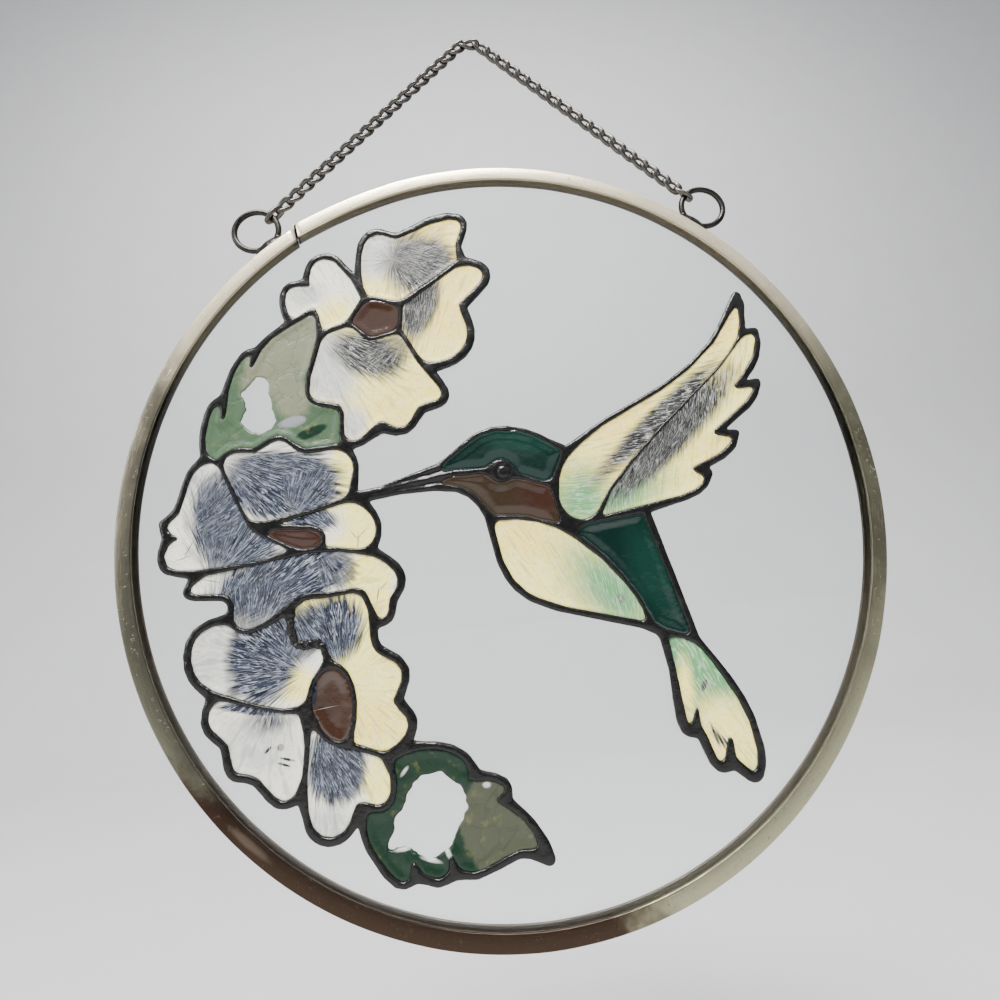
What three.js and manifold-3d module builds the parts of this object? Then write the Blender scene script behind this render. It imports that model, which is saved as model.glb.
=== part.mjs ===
// Round painted-glass suncatcher with a hummingbird and three blossoms, hung by a chain.
// Millimetres, +Z up. The disc stands upright in the XZ plane and its picture faces -Y.
// The origin is the hanging point, where a hook meets the underside of the chain's middle link.
import * as THREE from 'three';
import Module from 'manifold-3d';
import { mergeVertices } from 'three/addons/utils/BufferGeometryUtils.js';

const wasm = await Module();
wasm.setup();

// ---------- driving dimensions ----------
const discRadius = 82.5;                 // to the outside of the metal frame
const channel = { depth: 5, flange: 3.3, wall: 0.7, corner: 1.0, steps: 42 };
const glass = { thickness: 3, edgeGap: 0.6, steps: 48 };
const picture = { rise: 0.9, fillRise: 0.55, seat: 0.05, inset: 0.48, tolerance: 0.24 };
const seam = { angle: -34.4, gap: 0.45, stepOut: 0.55, blend: 14 };   // degrees from the top, mm
const loop = { angle: 38.8, radius: 5.3, wire: 1.3, solderSpan: 4.3, solderRise: 2.2 };
const chain = {
  links: 41, pitch: 3.6, width: 3.4, wire: 0.85, bend: 5, bite: 0.2, steps: 6, sides: 3,
};
const hangTurn = THREE.MathUtils.degToRad(4.2);   // the picture is turned by this as it hangs
const clearance = 0.3;

// ---------- finishes ----------
const finish = (color, roughness, metalness = 0) =>
  new THREE.MeshStandardMaterial({ color, roughness, metalness });
const champagne = finish(0xb9b09a, 0.35, 1);
const gunmetal = finish(0x55534f, 0.35, 1);
const black = finish(0x16140f, 0.35);
const clear = new THREE.MeshStandardMaterial({
  color: 0xdfe8e6, roughness: 0.05, transparent: true, opacity: 0.3,
});
const pearl = finish(0xd9d3bd, 0.3);
const slate = finish(0x9da0a6, 0.35);
const brown = finish(0x4b3527, 0.15);
const sage = finish(0x8f9c7c, 0.25);
const deepGreen = finish(0x1f3d33, 0.15);
const mint = finish(0xc2d6ba, 0.3);

// ---------- lead lines: [width or widths along the line, points in mm from the disc's centre] ----------
const topBloom = [
  [0.9, [[-36.9, 40.1], [-35.4, 42.9], [-33.3, 45.8], [-30.8, 46.3], [-28, 45.8], [-25.3, 44.9],
    [-24.7, 42.2], [-24.9, 39.4], [-26.2, 37.7], [-28.6, 36.9], [-31.3, 35.9], [-33, 36.9],
    [-34.6, 38.7], [-36.9, 40.1]]],
  [1.2, [[-33.4, 46.6], [-34.7, 49.1], [-36.9, 52.4], [-39, 55], [-40.8, 56.7], [-42.9, 57.3],
    [-45.1, 56.6], [-46.5, 54.9], [-46.9, 52.7], [-46.9, 50.9], [-46.4, 49.7]]],
  [1.2, [[-46.4, 49.7], [-48.9, 50], [-50.8, 49.6], [-51.9, 48.3], [-52.2, 46.3], [-51.8, 43.8],
    [-51, 41.8], [-49.9, 40.4]]],
  [0.9, [[-43, 36.7], [-41.5, 37.8], [-39.7, 38.7], [-37.9, 39.4], [-36.8, 40]]],
  [[1.2, 1.3, 1.3, 1.3, 1.8, 1.3, 1.2], [[-33.4, 46.8], [-34.4, 49.9], [-35.1, 55.9], [-34.5, 61.2],
    [-32.9, 63.2], [-31.1, 64.1], [-29.4, 63.8], [-27.9, 62.9], [-26.3, 62.6], [-24.4, 63.5],
    [-19.4, 66.6], [-16.5, 67.9], [-13.6, 68.5], [-11.4, 68.1], [-10.2, 66.9], [-10.2, 65.2],
    [-11.5, 61.7], [-11.8, 60], [-11.2, 58.2], [-10.7, 56.4]]],
  [1.1, [[-25, 45.2], [-19, 49.5], [-13.6, 53.7], [-12, 55.2], [-10.6, 56]]],
  [1.6, [[-10.6, 56], [-9.3, 56.1], [-7.2, 55.7], [-5.4, 54.7], [-4.6, 53.1], [-4.9, 51.2],
    [-6.5, 49], [-8.3, 47], [-10.9, 44.6]]],
  [[1.4, 1.7, 1.7, 1.2, 1], [[-10.9, 44.6], [-9.9, 42.7], [-8.8, 40.2], [-8.4, 37.6], [-8.9, 34.9],
    [-10.6, 32.4], [-13.3, 30.6], [-16.1, 29.8], [-18.6, 29.8], [-20.1, 30.9], [-22.6, 35.2],
    [-24.9, 38.3]]],
  [1.2, [[-43, 36.7], [-44.2, 31.2], [-45.1, 25.6], [-45, 23.2], [-44.1, 21.6], [-42.4, 20.7],
    [-40, 20.3], [-37.8, 20.2]]],
  [[1.2, 1.3, 1.5, 2], [[-37.8, 20.2], [-36.9, 18.9], [-37, 15.2], [-36.8, 13.3], [-35.7, 11.9],
    [-33.6, 11.5], [-31.8, 12.4], [-30.2, 14], [-28.1, 16]]],
  [[2, 1.5, 1.4], [[-28.1, 16], [-26.6, 15.1], [-24.8, 14.3], [-22.8, 14.6], [-21.4, 16],
    [-20.5, 18], [-19.8, 19.5]]],
  [[1.4, 1.7, 1.3], [[-19.8, 19.5], [-18.4, 20.3], [-16.4, 20.5], [-14.7, 21.3], [-14.1, 23],
    [-14.8, 24.8], [-16.6, 27], [-20, 30.8]]],
];

const upperLeaf = [
  [1.1, [[-57, 32.3], [-56.2, 34], [-54.8, 36], [-52.8, 37.8], [-48.4, 40.6], [-46.4, 42.2],
    [-44.8, 43.6]]],
  [1.1, [[-44.8, 43.6], [-43.9, 42], [-43.5, 40], [-43, 36.7]]],
  [[1.2, 1.7], [[-57, 32.3], [-57.4, 30.8], [-57.8, 29.6]]],
  [[1.2, 1.1, 1.1, 1.7], [[-57, 32.5], [-58.4, 33.1], [-59.7, 32.2], [-60.8, 30.4], [-61.8, 28],
    [-62.9, 22.4], [-62.9, 20], [-62.8, 17.5]]],
  [1.2, [[-63.1, 21.1], [-64.6, 21.3], [-65.8, 19.4], [-66.4, 16.4], [-66.6, 13.2],
    [-66.2, 10.2], [-65.3, 8.2]]],
];

const middleBloom = [
  [[1.1, 1.2, 1.2, 1.2, 1.3], [[-62.4, 7.2], [-61.4, 9.3], [-59.7, 10.2], [-57.5, 10.4],
    [-55.4, 9.9], [-53.8, 11], [-51.9, 12.5], [-50.1, 13.2], [-48.4, 12.5], [-46.7, 10.9],
    [-44.9, 9.9], [-42.7, 10], [-40.1, 10.7], [-37.5, 10.9], [-35.3, 10.1], [-33.8, 8.4],
    [-33.2, 6.2], [-33.3, 3.6], [-34, -0.4]]],
  [0.9, [[-65.2, 8.2], [-63.8, 7.9], [-62.4, 7.2], [-61.2, 4.9], [-58.2, -0.6], [-55.2, -5.2],
    [-53.6, -6.9], [-51.4, -8.1], [-46.2, -10.5], [-43.9, -11.4]]],
  [1, [[-55, -5.4], [-52.5, -5.6], [-50, -5.2], [-44.9, -3.9], [-39, -1.9], [-34, -0.4]]],
  [1.3, [[-65.2, 8.1], [-66.7, 7.4], [-68, 6], [-68.9, 3.6], [-69.4, -1.2], [-70.1, -3.3],
    [-71.6, -4.5], [-73.1, -5.3]]],
  [[1.3, 1.3, 1.3, 1, 0.9, 0.9, 0.9], [[-73.1, -5.3], [-72.4, -6.8], [-71.3, -8.2], [-71.9, -10],
    [-72.3, -11.8], [-71.9, -13.6], [-70.9, -14.9], [-69.2, -15.4], [-66.4, -15.6],
    [-60.1, -14.8], [-52.3, -13.5], [-43.4, -11.4], [-37.5, -10.9], [-34.4, -11],
    [-30.7, -11.5]]],
  [1.1, [[-71.3, -8.2], [-69.1, -8.5]]],
  [1.3, [[-34, -0.4], [-32.6, -0.8], [-30.4, -2.1], [-28.6, -4.1], [-27.8, -6.4], [-27.9, -8.6],
    [-29, -10.4], [-30.7, -11.5]]],
  [0.9, [[-53.6, -6.7], [-46.4, -6.3], [-42.7, -6.2], [-40.1, -6.8], [-38.9, -8.2],
    [-39.3, -9.9], [-41, -11.1]]],
  [1.2, [[-63.2, -15.4], [-66.2, -18.3], [-66.2, -19.7], [-64.9, -20.2], [-59.7, -20],
    [-57.7, -20.4], [-56.6, -22], [-56.8, -23.8], [-57.4, -24.7]]],
  [[1.1, 1.1, 1.1, 1.2, 1.3, 1.4], [[-57.3, -24.6], [-55.4, -26.5], [-53.8, -27.1],
    [-51.6, -26.6], [-49, -25.3], [-44.5, -21.6], [-43, -20.5], [-40.4, -19.9], [-37.5, -20.1],
    [-31.7, -19.1], [-30.1, -19.8], [-28.4, -23.8], [-27.1, -25.4], [-25.5, -25.5],
    [-24.5, -24.1], [-24.5, -20.9]]],
  [[1.4, 1.7, 1.3], [[-24.5, -20.9], [-23.1, -19.5], [-22.5, -17.5], [-23.3, -15.3],
    [-25.6, -13.2], [-28.2, -11.9], [-30.7, -11.5]]],
];

const lowerBloom = [
  [[1.5, 1.5, 1.5, 1.1, 0.9, 1], [[-57.3, -24.7], [-59.4, -24.8], [-61.2, -25.4], [-63.2, -26.7],
    [-64.3, -28.7], [-64.5, -31.4], [-63.9, -33.9], [-62.5, -36.1], [-60.4, -37.7], [-58, -38.7],
    [-52.8, -40.1], [-47, -41.4], [-44.2, -41.7], [-40.8, -41.2]]],
  [1.1, [[-36.8, -33.2], [-34, -33.9], [-32.1, -36.3], [-31.1, -39.4], [-30.9, -42.5],
    [-31.3, -45.6], [-32.3, -47.8], [-34.4, -47.6], [-37, -46], [-38.7, -44], [-39.8, -41.8],
    [-40, -38.7], [-39.3, -35.8], [-36.8, -33.2]]],
  [0.9, [[-45.2, -22.4], [-44.4, -27.6], [-43.3, -29.6], [-41.3, -30], [-39.3, -29],
    [-37.9, -29.5], [-36.8, -33.2]]],
  [1.5, [[-28.4, -24.2], [-27.8, -29.3], [-26.9, -30.8], [-24.6, -31.7], [-22.5, -32.8],
    [-21.2, -34.6], [-21.3, -36.6], [-23.2, -40.2]]],
  [1.7, [[-23.2, -40.2], [-21.8, -41.5], [-20.1, -42.8], [-19.5, -44.4], [-20.2, -46.4],
    [-21.8, -48.3], [-24.2, -49.9]]],
  [0.9, [[-32.3, -47.9], [-27.3, -49], [-24.4, -49.9]]],
  [[1.8, 1.1, 1.1], [[-40.8, -41.2], [-39.8, -47.3], [-39.9, -54.3]]],
  [1.4, [[-58.2, -38.9], [-59.5, -40.5], [-59.9, -42.8], [-59.1, -44.9], [-57, -46.3],
    [-55.3, -47.4], [-54.7, -49.4], [-54.4, -51.5], [-53.1, -53], [-50.8, -53], [-48.8, -53.6],
    [-45.9, -56.7], [-44.2, -57.8], [-42.2, -57.6], [-40.7, -56.3], [-39.9, -54.3]]],
  [[1.2, 1.4, 1.5], [[-39.9, -54.3], [-39.1, -60.2], [-38, -62.5], [-35.9, -63.9], [-33.5, -64],
    [-31.4, -62.9], [-30.1, -60.8], [-29.4, -58.3]]],
  [1.4, [[-29.4, -58.3], [-28.2, -58.1], [-26.4, -58.8], [-24.7, -58.7], [-23.2, -57.4],
    [-22.7, -55.2], [-23.2, -52.6], [-24.5, -50.1]]],
];

const lowerLeaf = [
  [[1, 1.2, 1.5], [[-24.3, -50.1], [-19.9, -48.6], [-16.9, -48.3], [-14, -48.4], [-11.4, -49.1],
    [-9, -50.6], [-7.4, -53.7]]],
  [1.3, [[-8.6, -54.1], [-5.8, -53.8], [-3.4, -54.1], [-1.6, -54.9], [-0.8, -56.1],
    [-1.3, -57.2], [-3.2, -57.9]]],
  [[1.2, 1.3, 2], [[-3.2, -57.9], [-1.4, -58.4], [0.7, -59.6], [2.8, -61.4], [5.7, -65.5],
    [6.7, -68]]],
  [[2, 1.3, 1.3, 1.3, 1.3], [[6.7, -68], [4.7, -67.2], [2.8, -66.6], [0.7, -66.6], [-4.6, -69.2],
    [-6.9, -70.1], [-9.3, -70.1], [-11.1, -69.7], [-12.8, -70.9], [-14.2, -71.3], [-15.8, -70.8],
    [-18.4, -69.6]]],
  [1.3, [[-11.1, -69.7], [-11.9, -67]]],
  [1.3, [[-18.4, -69.8], [-18.9, -67.9]]],
  [1.2, [[-18.4, -69.6], [-19.3, -71], [-21.2, -71.4], [-22.8, -70.4], [-27.2, -65.2],
    [-28.3, -62.8], [-28.5, -60.8], [-28.6, -58.4]]],
];

const bird = [
  [[0.7, 0.8, 0.7], [[-34.4, 0], [-30.9, 0.6], [-23.7, 3.2], [-14.9, 6.9], [-13, 8.4],
    [-8.7, 12.3], [-6.2, 14], [-3.4, 14.8], [0, 15], [3.1, 14.6], [6.3, 13.5], [9.1, 11.9],
    [12.6, 10]]],
  [[0.7, 0.9, 1, 1.2, 1.2], [[-34.4, -0.2], [-30.9, -0.2], [-23.7, 1.1], [-16.6, 1.9], [-13, 1.9],
    [-10.9, 1.7], [-8.4, 0.5], [-6.2, -1.6], [-4.1, -4.9]]],
  [[0.5, 1.3, 2.4, 3.2], [[-32, 0.2], [-26, 1.6], [-20, 3.2], [-15.5, 4.3]]],
  [[2, 0.9, 0.9], [[-15.2, 4.5], [-12.3, 4.9], [-6.9, 5.4], [-4, 5.6]]],
  [5.6, [[-1.9, 5.5], [-1.7, 5.5]]],
  [0.9, [[0.4, 4.9], [4.9, 3.4], [8.1, 2.6], [10, 2.9]]],
  [[1.2, 0.9, 1.2, 1, 1], [[-4.1, -4.9], [0, -4.5], [4, -4.8], [8, -5.7], [11.6, -7.1],
    [17.6, -11.2], [20.8, -14], [26.4, -20.8], [28, -24], [29.2, -27]]],
  [[1, 1.4, 1.7, 1, 0.9, 0.9, 0.9, 1.2, 1.8], [[15, -5.9], [12.2, -4.4], [10.5, -1.8], [10, 1.2],
    [10.4, 4.4], [11.6, 7.6], [13.4, 10], [19.8, 15.2], [27.4, 19.9], [35.4, 24.4], [43, 30.2],
    [49, 36.6], [53.4, 44.2], [55.5, 47.9]]],
  [[1.8, 1.3, 1.2], [[55.5, 47.9], [56.3, 46], [56.2, 42], [55.2, 37.3]]],
  [[0.8, 0.7, 0.7], [[17.4, -5], [18.9, -4.3], [20.2, -2.4], [21.8, 0.8], [27, 7.3], [34.6, 15.3],
    [43, 23.3], [50.6, 31], [53.4, 34.6], [55.2, 37.3]]],
  [0.9, [[55.2, 37.4], [57, 38.2], [59.2, 39]]],
  [[0.9, 1.4, 1.5, 1], [[59.2, 39], [59.3, 36], [58.5, 32.8], [57.3, 30.3], [52.7, 24.7]]],
  [1.2, [[52.7, 24.7], [54.8, 25], [58.1, 26.2]]],
  [[1, 1.6, 1.5, 1], [[58.1, 26.2], [57.4, 24], [56, 21.6], [53.6, 19.4], [46.7, 14]]],
  [1.3, [[46.7, 14], [48.8, 13.6], [51.8, 14]]],
  [[1, 1.6, 1.5, 1], [[51.8, 14], [51, 11.7], [49.2, 9.7], [46.6, 8], [41.2, 5.7]]],
  [1.4, [[41.2, 5.7], [42.6, 5], [44.6, 5.1]]],
  [[1, 1.4, 1.2, 1, 0.9, 0.9], [[44.6, 5.1], [43.8, 3], [42, 1.1], [39, -0.3], [35.4, -1.3],
    [22.2, -4.6], [15, -5.9]]],
  [1.6, [[10.8, -3.4], [12.6, -6.6]]],
  [1.2, [[15, -5.9], [13.6, -7.6]]],
  [1.3, [[-4.1, -4.9], [-3.7, -8], [-2.8, -11.6], [-1.4, -15.2], [0.6, -18.3], [3.6, -20.8],
    [7.6, -22.4], [12, -23.7], [26, -26.3], [28.8, -27], [31, -28]]],
  [[0.9, 1.1, 1.1], [[29.4, -2.9], [30.7, -7.4], [33.6, -15.6], [37.9, -29.4]]],
  [1, [[29.2, -27], [31.4, -28], [34.4, -28.7], [37.6, -29.6]]],
  [[1.2, 1.3, 1.6, 1.9], [[31.2, -28.3], [32.8, -35.2], [33.3, -39.2], [33.8, -45.6],
    [34.8, -46.9], [36.4, -46.2]]],
  [1.4, [[36.5, -46.1], [37, -42.8]]],
  [[1.5, 1.5, 1.8], [[36.4, -46.2], [37.8, -47.4], [38.6, -50.4], [39.6, -52.6], [40.9, -53.4],
    [42.6, -52.4]]],
  [1.6, [[42.7, -52.2], [43.1, -48.4]]],
  [[1.6, 1.6, 1.4, 1.4, 1.2], [[42.6, -52.4], [44.3, -52.8], [45.8, -54.6], [47.3, -55.4],
    [48.5, -54], [49, -50.4], [48.3, -46.4], [46.8, -42.2], [44.4, -38], [39.3, -31],
    [37.6, -29.6]]],
];

const leadLines = [...topBloom, ...upperLeaf, ...middleBloom, ...lowerBloom, ...lowerLeaf, ...bird];

// Places where a fill has flaked away and the glass is bare.
const upperLeafWear = [[-57, 27.4], [-54.4, 27.1], [-53.3, 25.3], [-54, 23.4], [-52.7, 21],
  [-52.2, 18.4], [-51, 16.6], [-52.4, 14.6], [-54.6, 13.8], [-57.4, 14.8], [-59.2, 16.8],
  [-57.8, 19.2], [-58.6, 21.8], [-60, 23.1], [-58, 24.6]];
const lowerLeafWear = [[-20.6, -56.4], [-19.2, -54.9], [-18.3, -53.4], [-13.8, -52.6],
  [-12.4, -54.2], [-10.8, -55.2], [-9.4, -55.4], [-8.7, -59.8], [-10.3, -61.7], [-11.5, -63.8],
  [-11.3, -65.4], [-13.6, -66.3], [-15, -67.4], [-16.5, -67.5], [-18.4, -66.2], [-20.3, -65],
  [-24.4, -66.2], [-23, -63.8], [-22.8, -60.8], [-20.8, -58.8]];

// Each fill is named by a point that lies in its cell.
const fills = [
  ['bloom_top_left_petal', [-41, 46], pearl], ['bloom_top_upper_petal', [-26, 55], pearl],
  ['bloom_top_right_petal', [-15, 42], pearl], ['bloom_top_lower_petal', [-34, 27], pearl],
  ['bloom_top_centre', [-30.5, 41.5], brown],
  ['bloom_middle_upper_petal', [-46, 4], slate], ['bloom_middle_left_petal', [-62, -4], slate],
  ['bloom_middle_right_petal', [-33, -6], pearl], ['bloom_middle_lower_petal', [-45, -16], slate],
  ['bloom_middle_centre', [-43, -8.5], brown],
  ['bloom_lower_upper_petal', [-55, -33], slate], ['bloom_lower_right_petal', [-27, -38], pearl],
  ['bloom_lower_left_petal', [-50, -47], pearl], ['bloom_lower_bottom_petal', [-34, -57], slate],
  ['bloom_lower_centre', [-35, -41], brown],
  ['leaf_upper', [-48, 32], sage, upperLeafWear], ['leaf_lower', [-6, -64], deepGreen, lowerLeafWear],
  ['bird_crown', [3, 11], deepGreen], ['bird_throat', [3, -1], brown],
  ['bird_belly', [10, -14], pearl], ['bird_back', [25, -12], deepGreen],
  ['bird_tail', [38, -38], mint], ['bird_wing_upper', [20, 8], pearl],
  ['bird_wing_lower', [40, 12], mint],
];

// ---------- small helpers ----------
const curveThrough = (points, closed = false) =>
  new THREE.CatmullRomCurve3(points.map(([x, y]) => new THREE.Vector3(x, y, 0)), closed, 'centripetal');

// The drawn picture is turned about the disc's centre to how it hangs.
function hung([x, y]) {
  const c = Math.cos(hangTurn), s = Math.sin(hangTurn);
  return new THREE.Vector2(x * c + y * s, y * c - x * s);
}

function area(ring) {
  return THREE.ShapeUtils.area(ring.map(([x, y]) => new THREE.Vector2(x, y)));
}

function encloses(ring, [px, py]) {
  let inside = false;
  for (let i = 0, j = ring.length - 1; i < ring.length; j = i++) {
    const [xi, yi] = ring[i], [xj, yj] = ring[j];
    if ((yi > py) !== (yj > py) && px < (xj - xi) * (py - yi) / (yj - yi) + xi) inside = !inside;
  }
  return inside;
}

// Douglas-Peucker on a closed ring: drops the points that lie within the tolerance of a chord.
function simplified(ring, tolerance) {
  const keep = (points) => {
    const [a, b] = [points[0], points[points.length - 1]];
    const [dx, dy] = [b[0] - a[0], b[1] - a[1]];
    const length = Math.hypot(dx, dy) || 1;
    let far = 0, at = 0;
    for (let i = 1; i < points.length - 1; i++) {
      const off = Math.abs((points[i][0] - a[0]) * dy - (points[i][1] - a[1]) * dx) / length;
      if (off > far) [far, at] = [off, i];
    }
    return far > tolerance ? [...keep(points.slice(0, at + 1)), ...keep(points.slice(at))] : [a];
  };
  const half = Math.floor(ring.length / 2);
  return [...keep(ring.slice(0, half + 1)), ...keep([...ring.slice(half), ring[0]])];
}

// ---------- field of the lead lines ----------
// Distance to the edge of the nearest line on a grid, negative inside a line. Lines that meet are
// blended, so their corners fill in as a run of molten metal does.
const grid = { cell: 0.3, reach: 3, blend: 0.16, left: -78, bottom: -76, columns: 500, rows: 500 };

function strokePoints([width, points]) {
  const curve = curveThrough(points);
  const widths = Array.isArray(width) ? width : [width, width];
  const steps = Math.max(2, Math.ceil(curve.getLength() / 0.6));
  return curve.getSpacedPoints(steps).map((p, i) => {
    const along = (i / steps) * (widths.length - 1);
    const k = Math.min(Math.floor(along), widths.length - 2);
    return { x: p.x, y: p.y, r: THREE.MathUtils.lerp(widths[k], widths[k + 1], along - k) / 2 };
  });
}

function stampLine(line, total) {
  const points = strokePoints(line);
  const nearest = new Map();
  for (let i = 1; i < points.length; i++) {
    const [a, b] = [points[i - 1], points[i]];
    const [dx, dy] = [b.x - a.x, b.y - a.y];
    const reach = grid.reach + Math.max(a.r, b.r);
    const column = (x) => Math.round((x - grid.left) / grid.cell);
    const row = (y) => Math.round((y - grid.bottom) / grid.cell);
    for (let r = row(Math.min(a.y, b.y) - reach); r <= row(Math.max(a.y, b.y) + reach); r++) {
      for (let c = column(Math.min(a.x, b.x) - reach); c <= column(Math.max(a.x, b.x) + reach); c++) {
        if (r < 0 || c < 0 || r >= grid.rows || c >= grid.columns) continue;
        const [px, py] = [grid.left + c * grid.cell - a.x, grid.bottom + r * grid.cell - a.y];
        const t = THREE.MathUtils.clamp((px * dx + py * dy) / (dx * dx + dy * dy), 0, 1);
        const d = Math.hypot(px - t * dx, py - t * dy) - THREE.MathUtils.lerp(a.r, b.r, t);
        const key = r * grid.columns + c;
        if (d < (nearest.get(key) ?? Infinity)) nearest.set(key, d);
      }
    }
  }
  for (const [key, d] of nearest) total[key] += Math.exp(-d / grid.blend);
}

function leadField() {
  const total = new Float64Array(grid.columns * grid.rows).fill(Math.exp(-grid.reach / grid.blend));
  leadLines.forEach((line) => stampLine(line, total));
  return total.map((sum) => -grid.blend * Math.log(sum));
}

// Closed rings where the field has the given level, with the lower side on their left (marching squares).
function contours(field, level) {
  const links = new Map(), places = new Map();
  const value = (c, r) => field[r * grid.columns + c] - level;
  const crossing = (c0, r0, c1, r1) => {
    const key = `${Math.min(c0, c1)},${Math.min(r0, r1)},${c0 === c1 ? 'v' : 'h'}`;
    const t = value(c0, r0) / (value(c0, r0) - value(c1, r1));
    places.set(key, [grid.left + grid.cell * (c0 + t * (c1 - c0)),
      grid.bottom + grid.cell * (r0 + t * (r1 - r0))]);
    return key;
  };
  for (let r = 0; r < grid.rows - 1; r++) {
    for (let c = 0; c < grid.columns - 1; c++) {
      const corners = [[c, r], [c + 1, r], [c + 1, r + 1], [c, r + 1]];
      const low = corners.map(([x, y]) => value(x, y) < 0);
      const enter = [], leave = [];
      corners.forEach((corner, i) => {
        const next = (i + 1) % 4;
        if (low[i] === low[next]) return;
        (low[i] ? leave : enter).push(crossing(...corner, ...corners[next]));
      });
      leave.forEach((key, i) => links.set(key, enter[(i + (leave.length > 1 ? 1 : 0)) % enter.length]));
    }
  }
  const rings = [];
  while (links.size) {
    const ring = [];
    let key = links.keys().next().value;
    while (links.has(key)) {
      ring.push(places.get(key));
      const next = links.get(key);
      links.delete(key);
      key = next;
    }
    rings.push(ring);
  }
  return rings;
}

// ---------- flat pieces of the picture ----------
const frontOfGlass = -glass.thickness / 2 - picture.seat;

function raised(outline, holes, rise) {
  const wound = (ring, sign) => (area(ring) * sign < 0 ? ring.toReversed() : ring).map(hung);
  const shape = new THREE.Shape(wound(outline, 1));
  shape.holes = holes.map((hole) => new THREE.Path(wound(hole, -1)));
  return new THREE.ExtrudeGeometry(shape, { depth: rise, bevelEnabled: false })
    .rotateX(Math.PI / 2).translate(0, frontOfGlass, 0);
}

function leading(field) {
  const rings = contours(field, 0).map((ring) => simplified(ring, picture.tolerance));
  const outer = rings.reduce((best, ring) => (Math.abs(area(ring)) > Math.abs(area(best)) ? ring : best));
  const holes = rings.filter((ring) => ring !== outer && Math.abs(area(ring)) > 1);
  return raised(outer, holes, picture.rise);
}

function fillPiece(rings, seed, wear) {
  const around = rings.filter((ring) => encloses(ring, seed));
  const cell = around.reduce((best, ring) => (Math.abs(area(ring)) < Math.abs(area(best)) ? ring : best));
  const holes = wear ? [wear] : [];
  return raised(simplified(cell, picture.tolerance), holes, picture.fillRise);
}

// ---------- metal frame and glass ----------
// The frame is one strip of U-channel bent round, so its two ends meet at a seam. One end sits proud.
class FramePath extends THREE.Curve {
  getPoint(t, target = new THREE.Vector3()) {
    const half = (seam.gap / 2) / discRadius;
    const turn = half + t * (2 * Math.PI - 2 * half);
    const proud = seam.stepOut * Math.max(0, 1 - turn / THREE.MathUtils.degToRad(seam.blend)) ** 2;
    const angle = THREE.MathUtils.degToRad(seam.angle) + turn;
    const r = discRadius + proud;
    return target.set(r * Math.sin(angle), 0, r * Math.cos(angle));
  }
}

// Section of the channel: x towards the front, y inwards from the outer wall.
function channelSection() {
  const { depth, flange, wall, corner } = channel;
  const half = depth / 2;
  return new THREE.Shape([
    [-half, flange], [-half, corner], [-half + corner, 0],
    [half - corner, 0], [half, corner], [half, flange],
    [half - wall, flange], [half - wall, wall], [-half + wall, wall], [-half + wall, flange],
  ].map(([x, y]) => new THREE.Vector2(x, y)));
}

function channelFrame() {
  return new THREE.ExtrudeGeometry(channelSection(),
    { steps: channel.steps, bevelEnabled: false, extrudePath: new FramePath() });
}

function glassDisc() {
  const radius = discRadius - channel.wall - glass.edgeGap;
  return new THREE.CylinderGeometry(radius, radius, glass.thickness, glass.steps);
}

// ---------- joined solids ----------
function toSolid(geometry) {
  const bare = geometry.clone();
  bare.deleteAttribute('normal');
  bare.deleteAttribute('uv');
  const merged = mergeVertices(bare, 1e-4);
  return new wasm.Manifold(new wasm.Mesh({
    numProp: 3,
    vertProperties: new Float32Array(merged.attributes.position.array),
    triVerts: new Uint32Array(merged.index.array),
  }));
}

function toGeometry(solid) {
  const mesh = solid.getMesh();
  const geometry = new THREE.BufferGeometry();
  geometry.setAttribute('position', new THREE.BufferAttribute(new Float32Array(mesh.vertProperties), 3));
  geometry.setIndex(new THREE.BufferAttribute(new Uint32Array(mesh.triVerts), 1));
  geometry.computeVertexNormals();
  return geometry;
}

// ---------- hanging loops ----------
// A round wire ring stands on the rim in a bed of solder. Built at the top of the disc, then turned.
const loopCentre = discRadius + clearance + loop.radius + loop.wire / 2;

function hangingLoop(side) {
  const ring = new THREE.TorusGeometry(loop.radius, loop.wire / 2, 6, 16).rotateX(Math.PI / 2)
    .translate(0, 0, loopCentre);
  const seat = discRadius + clearance;
  const reach = loop.solderSpan / seat;
  const bed = new THREE.Shape();
  bed.absarc(0, 0, seat, Math.PI / 2 - reach, Math.PI / 2 + reach, false);
  bed.quadraticCurveTo(-loop.solderSpan / 2, seat + loop.solderRise, 0, seat + loop.solderRise);
  bed.quadraticCurveTo(loop.solderSpan / 2, seat + loop.solderRise,
    seat * Math.sin(reach), seat * Math.cos(reach));
  const solder = new THREE.ExtrudeGeometry(bed,
    { depth: loop.wire * 1.6, bevelEnabled: false, curveSegments: 4 })
    .translate(0, 0, -loop.wire * 0.8).rotateX(Math.PI / 2);
  return toGeometry(toSolid(ring).add(toSolid(solder)))
    .rotateY(side * THREE.MathUtils.degToRad(loop.angle));
}

// ---------- chain ----------
// Heights here are from the disc's centre. The chain runs straight from each loop to a small bend
// over the hook.
const loopAngle = THREE.MathUtils.degToRad(loop.angle);
const linkReach = chain.pitch / 2 + chain.wire / 2 - chain.bite / 2;   // half a link's wire line
const firstLink = (loop.wire + chain.wire) / 2 + clearance;   // how far it hooks inside the loop

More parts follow.
